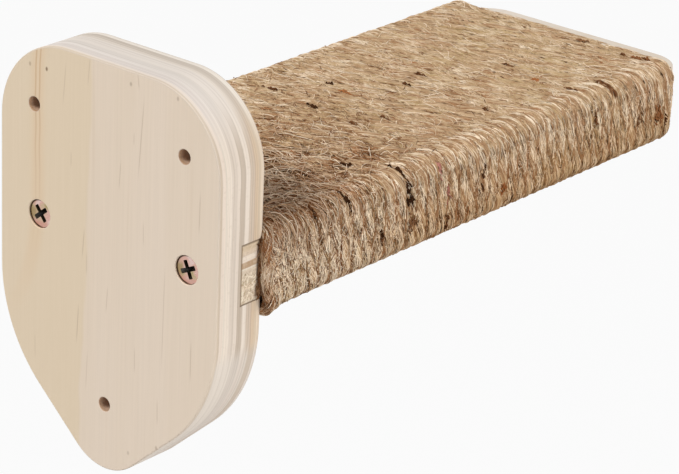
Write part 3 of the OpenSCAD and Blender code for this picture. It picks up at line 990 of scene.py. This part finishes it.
def strand_fibres(draw, face, kind):
    """Fibres along the strands: their body, pale crowns, and dark fibres that paint the shade of the slits
    between them or of the gaps between turns.
    """
    lengths, widths, middle_tint, spread, deep = STRAND_KINDS[kind]
    gaps = kind == "gaps"
    slits = kind in ("gaps", "slits")
    half = STRAND_POINTS // 2
    t = np.linspace(0.0, 1.0, STRAND_POINTS)[None, :]
    middle = draw.even(*face)[:, None]
    turn = draw.rng.integers(2 if gaps else 0, ROPE_TURNS, draw.count)[:, None]
    bent = bend_share(middle)
    reach = draw.mm(*lengths)[:, None] * (1.0 - 0.5 * bent)
    d = middle + reach * (t - 0.5)
    aside = draw.bell(0.0, 0.1) if slits else draw.even(0.06, 0.94)
    strand = draw.rng.integers(0, STRANDS, draw.count) + aside
    theta = TAU * (strand[:, None] / STRANDS - d / ROPE_LAY)
    across = np.sin(theta)
    outside = np.cos(theta[:, half]) > 0.15
    if gaps:
        across = 0.94 + draw.bell(0.0, 0.06)[:, None] + 0 * t
        outside[:] = True
    slope = draw.bell(0.0, 0.18)[:, None] * reach * (t - 0.5)
    y = ROPE_START_Y - ROPE_PITCH * turn + 0.96 * HALF_W * across + slope
    y = np.clip(y, rope_lo.y + 0.3 * MM, rope_hi.y - 0.4 * MM)[outside]
    d = d[outside]
    bent = bent[outside, 0]
    draw.count = len(d)
    lift = draw.mm(0.03, 0.2) + (0.1 * MM if slits else 0.0)
    height = rope_surface(d, y) + lift[:, None] + 0.1 * MM * np.sin(math.pi * t)
    paths = on_rope(d, y, height)
    d = d[:, half]
    y = y[:, half]
    shaggy = shagginess(y)
    shadow_and_brown = plate_shadow_and_brown(d, y)
    valley = (2 * np.abs(aside - 0.5))[outside] ** 2
    tints = middle_tint + draw.bell(0.0, spread) * (0.34 + 1.1 * shaggy)
    # Painted shade in the valleys between strands, stronger beside the plate
    tints = tints - deep * valley * draw.even(0.5, 1.0) * (0.42 + 0.58 * shaggy)
    # Painted shade: the slits' dark is lighter far from the plate and in the bends; the other fibres are
    # darker in the bends, where most light falls, and in the plate's painted shadow
    if slits:
        tints = tints + 0.19 * (1 - shaggy) - 0.05 * shaggy + 0.1 * bent
    else:
        tints = tints + 0.1 * patches(d, y) + 0.2 * shaggy - 0.1 * bent - 1.06 * shadow_and_brown
    radii = draw.mm(*widths) * (1.3 - 0.4 * shaggy)
    dyes = -0.02 + 0.22 * warmth(d, y) + draw.bell(0.0, 0.15)
    dyes = np.clip(dyes + 0.4 * shadow_and_brown, -0.5, 0.55)
    return paths, radii, np.clip(tints, 0.08, 1.0), dyes


def stray_fibres(draw, face, dark_share, spread, disorder, loft):
    """Short crossed fibres, most of them beside the plate, some pale and some dark."""
    d = draw.even(*face)
    along = np.minimum(draw.rng.exponential(spread * MM, draw.count), rope_hi.y - rope_lo.y - 1 * MM)
    y = rope_hi.y - along - 0.5 * MM
    heading = draw.bell(STRAND_SLANT, disorder)
    curl = draw.bell(0.0, 1.2)
    reach = draw.mm(2.0, 7.0)
    lift = draw.mm(0.15, loft)
    paths = fibre_paths(draw, d, y, heading, curl, reach, lift, 0.35, 6)
    dark = draw.even(0, 1) < dark_share
    shadow_and_brown = plate_shadow_and_brown(d, y)
    # In the plate's painted shadow the pale strays are darker and their dye warmer
    tints = np.where(dark, draw.bell(0.18, 0.06), draw.bell(0.98, 0.1) - 0.15 * shadow_and_brown)
    radii = draw.mm(0.08, 0.16)
    dyes = np.clip(draw.bell(0.08, 0.15) + 0.6 * shadow_and_brown, 0.0, 0.7)
    return paths, radii, np.clip(tints, 0.08, 1.05), dyes


def dark_specks():
    """Short dark bits in the top's fibres."""
    draw = Draw(67, 330)
    d = draw.even(TOP_START, NEAR_START)
    y = draw.even(rope_lo.y + 1.0 * MM, rope_hi.y - 0.5 * MM)
    heading = draw.bell(TOP_SLANT, 0.35)
    reach = draw.mm(1.2, 4.5)
    lift = draw.mm(0.08, 0.25)
    curl = draw.bell(0.0, 0.5)
    paths = fibre_paths(draw, d, y, heading, curl, reach, lift, 0.2, 5)
    tints = np.clip(draw.bell(0.25, 0.08), 0.1, 0.45)
    radii = draw.mm(0.12, 0.28)
    dyes = np.clip(draw.bell(0.15, 0.25), -0.3, 0.6)
    return paths, radii, tints, dyes


def edge_fibres():
    """Fuzz on the first turn's rounded side, where it shows beside the plate, with painted shade at both
    corners.
    """
    draw = Draw(51, 2800)
    at_corner = 600
    t = np.linspace(0.0, 1.0, 6)[None, :]
    start = draw.even(NEAR_START - BEND_LENGTH, TURN_LENGTH + 3 * MM)
    start[:at_corner] = draw.rng.uniform(TURN_LENGTH - 9 * MM, TURN_LENGTH + 1 * MM, at_corner)
    d = start[:, None] + draw.mm(2.5, 8)[:, None] * (t - 0.5)
    height = draw.even(0.15 * MM, ROPE_H)[:, None]
    height = height + draw.bell(0.0, 2.0 * MM)[:, None] * (t - 0.5)
    height = np.clip(height, 0.15 * MM, ROPE_H)
    section = np.abs(height / HALF_H - 1) ** OPEN_SECTION_POWER
    aside = HALF_W * (1 - (1 - np.minimum(section, 1.0)) ** (1 / OPEN_SECTION_POWER))
    y = rope_hi.y - aside + draw.mm(-0.1, 0.3)[:, None]
    paths = on_rope(d, y, height + bulge(d, y))
    low = near_corner(start, 7 * MM)
    high = np.exp(-((start - NEAR_START) / (6 * MM)) ** 2)
    tints = draw.bell(0.84, 0.38) - low * draw.even(0.0, 1.1) - 0.5 * high
    radii = draw.mm(0.08, 0.18)
    dyes = np.clip(draw.bell(0.1, 0.2) + 0.35 * high + 0.25 * low, 0.0, 0.8)
    return paths, radii, np.clip(tints, 0.07, 1.0), dyes


def overhang_fuzz():
    """Dark fuzz of the first turn that hangs out over the plate's near edge; its dark tint is partly painted
    shade along the crease beside the plate.
    """
    draw = Draw(52, 300)
    t = np.linspace(0.0, 1.0, 6)[None, :]
    start = draw.even(NEAR_START - 2 * MM, TURN_LENGTH - BEND_LENGTH)[:, None]
    d = start + draw.mm(1.5, 5.0)[:, None] * (t - 0.5)
    slope = draw.bell(0.0, 1.2 * MM)[:, None] * (t - 0.5)
    y = rope_hi.y - 0.6 * MM + draw.rng.exponential(0.22 * MM, draw.count)[:, None] + slope
    y = np.minimum(y, rope_hi.y + 0.9 * MM)
    height = draw.mm(0.35, 1.6)[:, None] + 0 * t
    x, z, _, _ = wrap(d, height)
    paths = np.stack([x, y + lean(d, np.minimum(y, rope_hi.y), height), z], axis=-1)
    tints = np.clip(draw.bell(0.24, 0.16), 0.06, 0.8)
    radii = draw.mm(0.07, 0.15)
    dyes = np.clip(draw.bell(0.15, 0.2), 0.0, 0.6)
    return paths, radii, tints, dyes


def loose_hairs():
    """Long curly hairs: many on top beside the plate, a few elsewhere."""
    shaggy = 560
    spread = 1000
    draw = Draw(31, shaggy + spread)
    rng = draw.rng

    def lengths(low, high, spread_low, spread_high):
        beside = rng.uniform(low * MM, high * MM, shaggy)
        return np.concatenate([beside, rng.uniform(spread_low * MM, spread_high * MM, spread)])

    d = np.concatenate([
        rng.uniform(TOP_START + 20 * MM, NEAR_START + 4 * MM, shaggy),
        rng.uniform(TOP_START - 4 * MM, NEAR_START + 2 * FLAT_Z, spread),
    ])
    y = np.concatenate([
        rope_hi.y - np.abs(rng.normal(0.0, 26 * MM, shaggy)) - 1.0 * MM,
        rng.uniform(rope_lo.y, rope_hi.y, spread),
    ])
    heading = np.concatenate([rng.normal(0.0, 1.1, shaggy), rng.normal(0.15, 0.6, spread)])
    curl = draw.bell(0.0, 1.25)
    reach = lengths(9, 32, 5, 16)
    lift = lengths(0.4, 2.2, 0.15, 0.6)
    paths = fibre_paths(draw, d, y, heading, curl, reach, lift, 0.8, 12)
    tints = np.clip(draw.bell(0.78, 0.16), 0.35, 1.1)
    radii = lengths(0.09, 0.16, 0.07, 0.13)
    dyes = np.concatenate([rng.uniform(0.2, 0.6, shaggy), np.zeros(spread)])
    return paths, radii, tints, dyes


# Bits of bark and threads: on top x, y, on the near side z, y, then length, width, count, tint and dye
TOP_FLECKS = (
    (-14.1, -241.2, 6.0, 1.0, 6, 0.18, 0.2), (-33.8, -239.2, 3.5, 0.8, 5, 0.16, 0.2),
    (-39.9, -240.0, 5.0, 1.4, 9, 0.16, 0.45), (-42.7, -241.3, 4.0, 0.8, 5, 0.12, 0.4),
    (-46.7, -208.2, 9.0, 2.0, 12, 0.16, 0), (-33.5, -78.7, 5.0, 1.2, 9, 0.04, 0),
    (-47.8, -88.6, 5.5, 1.0, 9, 0.02, 0), (-34.1, -155.2, 2.6, 1.2, 7, 0.12, 0),
    (-42.8, -193.9, 7.0, 0.8, 6, 0.12, 0.2), (-11.8, -198.3, 5.0, 0.8, 5, 0.16, 0),
    (-28.4, -192.4, 5.0, 1.2, 7, 0.3, 1), (4.5, -167.1, 6.0, 0.9, 6, 0.16, 0),
    (12.5, -132.8, 6.0, 1.2, 7, 0.3, 1), (-10.6, -110.5, 4.0, 1.0, 6, 0.18, 0),
    (-48.7, -42.6, 5.0, 1.0, 6, 0.12, 0), (31.9, -116.7, 7.0, 1.0, 7, 0.13, 0),
    (10.5, -113.3, 6.5, 1.2, 10, 0.05, 0), (21.0, -135.7, 2.6, 0.8, 5, 0.06, 0),
    (-49.8, -59.0, 4.2, 1.5, 12, 0.02, 0), (-14.5, -123.1, 4.0, 0.9, 5, 0.15, 0),
    (2.2, -155.6, 4.5, 0.8, 5, 0.12, 0),
)
NEAR_FLECKS = (
    (9.0, -89.0, 4.5, 1.2, 8, 0.03, 0), (5.4, -90.6, 4.5, 2.2, 22, 0.02, 0),
    (-1.5, -92.0, 6.0, 3.2, 14, 0.2, 0), (-4.1, -90.8, 6.0, 1.6, 9, 0.18, 0),
    (11.5, -106.4, 7.0, 1.0, 7, 0.4, 2), (2.8, -110.8, 7.0, 1.0, 7, 0.4, 2),
    (2.5, -130.6, 8.0, 0.8, 6, 0.12, 0), (-4.1, -135.7, 2.5, 0.8, 5, 1.0, 0),
    (-5.0, -142.0, 7.0, 2.0, 10, 0.4, 1), (7.0, -196.6, 7.0, 0.8, 8, 0.15, 0.2),
    (-1.3, -224.0, 5.0, 1.4, 8, 0.18, 0), (-1.9, -237.0, 8.0, 2.8, 22, 0.25, 0.55),
    (-3.6, -235.9, 6.0, 0.8, 6, 0.05, 0), (-6.8, -242.0, 6.0, 0.8, 6, 0.1, 0.2),
    (-4.1, -75.7, 7.0, 0.9, 7, 0.08, 0), (-9.0, -111.1, 5.0, 0.9, 6, 0.14, 0),
)


def bark_flecks():
    """Bits of bark and stray threads, each a bundle of short fibres."""
    draw = Draw(41, 0)
    places = [(TOP_SLANT, TOP_START + FLAT_X - fleck[0] * MM, *fleck[1:]) for fleck in TOP_FLECKS]
    places += [(STRAND_SLANT, NEAR_START + FLAT_Z - fleck[0] * MM, *fleck[1:]) for fleck in NEAR_FLECKS]
    bundles = []
    for slant, start, along, length, width, count, tint, dye in places:
        draw.count = count
        bundles.append(np.stack([
            draw.bell(slant, 0.2),
            start + draw.bell(0.0, 0.22 * length * MM),
            along * MM + draw.bell(0.0, 0.4 * width * MM),
            length * MM * draw.even(0.3, 0.6),
            np.full(count, float(tint)),
            np.full(count, float(dye)),
        ]))
    heading, d, y, reach, tints, dyes = np.concatenate(bundles, axis=1)
    draw.count = len(d)
    curl = draw.bell(0.0, 0.25)
    lift = draw.mm(0.6, 0.95)
    paths = fibre_paths(draw, d, y, heading, curl, reach, lift, 0.9, 7)
    return paths, draw.mm(0.24, 0.46), tints, dyes


# Stretches of a turn that carry fibres: start and end on the way round
FACES = {
    "top": (TOP_START - BEND_LENGTH / 2, NEAR_START - 0.55 * BEND_LENGTH),
    "near": (NEAR_START - BEND_LENGTH - 2 * MM, TURN_LENGTH),
    "far": (2 * FLAT_X, TOP_START),
    "under": (0.0, 2 * FLAT_X),
    "bend": (NEAR_START - BEND_LENGTH - 3 * MM, NEAR_START + 4 * MM),
}
# Name, face, seed, count, mean direction, mean tint, its spread, painted shade in the valleys, level over
# gaps
LYING = (
    ("top_low", "top", 21, 8000, TOP_SLANT, 0.6, 0.2, 0.06, 0.5),
    ("top_high", "top", 25, 8000, TOP_SLANT, 0.62, 0.2, 0.06, 0.8),
    ("near", "near", 22, 2400, STRAND_SLANT, 0.84, 0.28, 0.45, 0.0),
    ("far", "far", 23, 2000, STRAND_SLANT, 0.84, 0.28, 0.45, 0.0),
    ("under", "under", 24, 5000, STRAND_SLANT, 0.7, 0.28, 0.35, 0.0),
)
# Kind, face, seed, count
STRANDED = (
    ("body", "near", 61, 10500), ("crowns", "near", 71, 1800), ("slits", "near", 81, 3600),
    ("body", "far", 62, 7000), ("crowns", "far", 72, 1300), ("slits", "far", 82, 2000),
    ("slits", "bend", 84, 1500), ("gaps", "near", 101, 1100), ("gaps", "far", 102, 800),
    ("body", "under", 63, 8000), ("crowns", "under", 73, 2000), ("slits", "under", 83, 2600),
)
# Face, seed, count, dark share, reach from the plate in mm, disorder, loft in mm
STRAYS = (
    ("near", 91, 2600, 0.3, 60, 0.65, 0.55), ("top", 92, 2600, 0.6, 28, 1.3, 1.5),
    ("far", 93, 1400, 0.3, 60, 0.65, 0.55), ("under", 94, 1800, 0.3, 60, 0.65, 0.55),
)


def make_fibres(material):
    def add(name, fibres):
        mesh = fibre_mesh("jute_" + name, *fibres)
        add_piece("jute_" + name, mesh, material)

    for name, face, seed, count, *looks in LYING:
        add("fibres_" + name, lying_fibres(Draw(seed, count), FACES[face], *looks))
    for kind, face, seed, count in STRANDED:
        add(kind + "_" + face, strand_fibres(Draw(seed, count), FACES[face], kind))
    for face, seed, count, *looks in STRAYS:
        add("strays_" + face, stray_fibres(Draw(seed, count), FACES[face], *looks))
    add("dark_specks", dark_specks())
    add("edge_fibres", edge_fibres())
    add("overhang_fuzz", overhang_fuzz())
    add("loose_hairs", loose_hairs())
    add("bark_flecks", bark_flecks())


def make_screw(node, turn, material):
    """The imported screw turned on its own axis, as it was driven, with its cross recess marked."""
    bm = bmesh.new()
    bm.from_mesh(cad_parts[node].data)
    lo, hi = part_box(node)
    axis = Vector(((lo.x + hi.x) / 2, 0.0, (lo.z + hi.z) / 2))
    head_r = (hi.x - lo.x) / 2

    def recessed(face):
        middle = face.calc_center_median()
        aside = Vector((middle.x - axis.x, 0.0, middle.z - axis.z))
        outward = face.normal.dot(aside.normalized()) if aside.length > TOUCHING else 0.0
        deep = hi.y - middle.y
        inside = TOUCHING < deep < 0.8 * head_r and aside.length < 0.75 * head_r
        return float(inside and outward < 0.3 and face.normal.y > -0.3)

    mark_faces(bm, "recess", recessed)
    about = Matrix.Translation(axis) @ Matrix.Rotation(math.radians(turn), 4, "Y") @ Matrix.Translation(-axis)
    bm.transform(about)
    mesh = bpy.data.meshes.new(node + "_driven")
    bm.to_mesh(mesh)
    bm.free()
    piece = add_piece(node + "_driven", mesh, material)
    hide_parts(node)


# Stage

FLOOR_Z = -1.4
FLOOR_SIZE = 12.0
FLOOR_GREY = (0.52, 0.52, 0.52, 1.0)
FLOOR_SEEN = 0.98
BACKDROP = (0.972, 0.972, 0.972, 1.0)
WORLD_LIGHT = 0.3
LAMP_AIM = Vector((0.0, -90 * MM, 0.0))
# Name, direction, distance, size and level of each lamp
LAMPS = (
    ("key_lamp", (0.35, 0.85, 1.05), 7.0, 2.3, 0.815),
    ("side_lamp", (-0.97, 0.12, 0.18), 2.6, 1.8, 0.73),
    ("front_fill", (0.0, -1.0, 0.0), 3.0, 1.6, 0.3),
    ("far_fill", (1.0, 0.0, 0.0), 3.0, 1.6, 0.3),
)


def backdrop_where_seen(s, shader, white_kind, output_kind, share):
    """Shows the plain backdrop to the camera, mirrors and glass, with a share left for shadows."""
    rays = s.node("ShaderNodeLightPath").outputs
    seen = s.most(s.most(rays["Is Camera Ray"], rays["Is Glossy Ray"]), rays["Is Transmission Ray"])
    white = s.node(white_kind, {"Color": BACKDROP})
    parts = {0: s.times(seen, share), 1: shader.outputs[0], 2: white.outputs[0]}
    mixed = s.node("ShaderNodeMixShader", parts)
    s.node(output_kind, {"Surface": mixed.outputs[0]})


def make_floor():
    mesh = bpy.data.meshes.new("floor")
    half = FLOOR_SIZE / 2
    corners = [(-half, -half, FLOOR_Z), (half, -half, FLOOR_Z), (half, half, FLOOR_Z), (-half, half, FLOOR_Z)]
    mesh.from_pydata(corners, [], [(0, 1, 2, 3)])
    floor = add_object("floor", mesh)
    s = Shader("pale_floor")
    diffuse = s.node("ShaderNodeBsdfDiffuse", {"Color": FLOOR_GREY})
    backdrop_where_seen(s, diffuse, "ShaderNodeEmission", "ShaderNodeOutputMaterial", FLOOR_SEEN)
    mesh.materials.append(s.owner)


def make_world():
    world = bpy.data.worlds.new("studio")
    bpy.context.scene.world = world
    s = Shader("studio", world)
    sky = s.node("ShaderNodeBackground", {"Color": (1.0, 1.0, 1.0, 1.0), "Strength": WORLD_LIGHT})
    backdrop_where_seen(s, sky, "ShaderNodeBackground", "ShaderNodeOutputWorld", 1.0)


def make_lamp(name, towards, distance, size, level):
    """A soft square lamp, at a level where 1 lights a facing surface to its own colour."""
    data = bpy.data.lights.new(name, "AREA")
    data.shape = "SQUARE"
    data.size = size
    data.energy = level * math.pi ** 2 * distance ** 2
    lamp = add_object(name, data)
    away = Vector(towards).normalized()
    lamp.location = LAMP_AIM + away * distance
    lamp.rotation_euler = away.to_track_quat("Z", "Y").to_euler()


def make_camera():
    data = bpy.data.cameras.new("camera")
    data.sensor_fit = "HORIZONTAL"
    data.sensor_width = SENSOR_W
    data.lens = FOCAL_PIXELS / IMAGE_W * SENSOR_W
    data.clip_start = 0.01
    camera = add_object("camera", data)
    place = Matrix.Translation(CAMERA_TARGET)
    for angle, axis in ((CAMERA_AZIMUTH, "Z"), (90 - CAMERA_ELEVATION, "X"), (-CAMERA_ROLL, "Z")):
        place = place @ Matrix.Rotation(math.radians(angle), 4, axis)
    camera.matrix_world = place @ Matrix.Translation((0.0, 0.0, CAMERA_DISTANCE))
    bpy.context.scene.camera = camera


make_camera()
make_world()
make_floor()
for lamp in LAMPS:
    make_lamp(*lamp)

make_plate(plate_plywood())
make_board(board_plywood())
make_rope(jute_rope_finish())
make_fibres(jute_fibre_finish())
zinc = yellow_zinc()
for screw, degrees in SCREW_TURNS.items():
    make_screw(screw, degrees, zinc)
wire = staple_wire()
for node_name, node_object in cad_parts.items():
    if "staple" in node_name:
        node_object.data.materials[0] = wire

bpy.context.scene.view_settings.view_transform = "Standard"
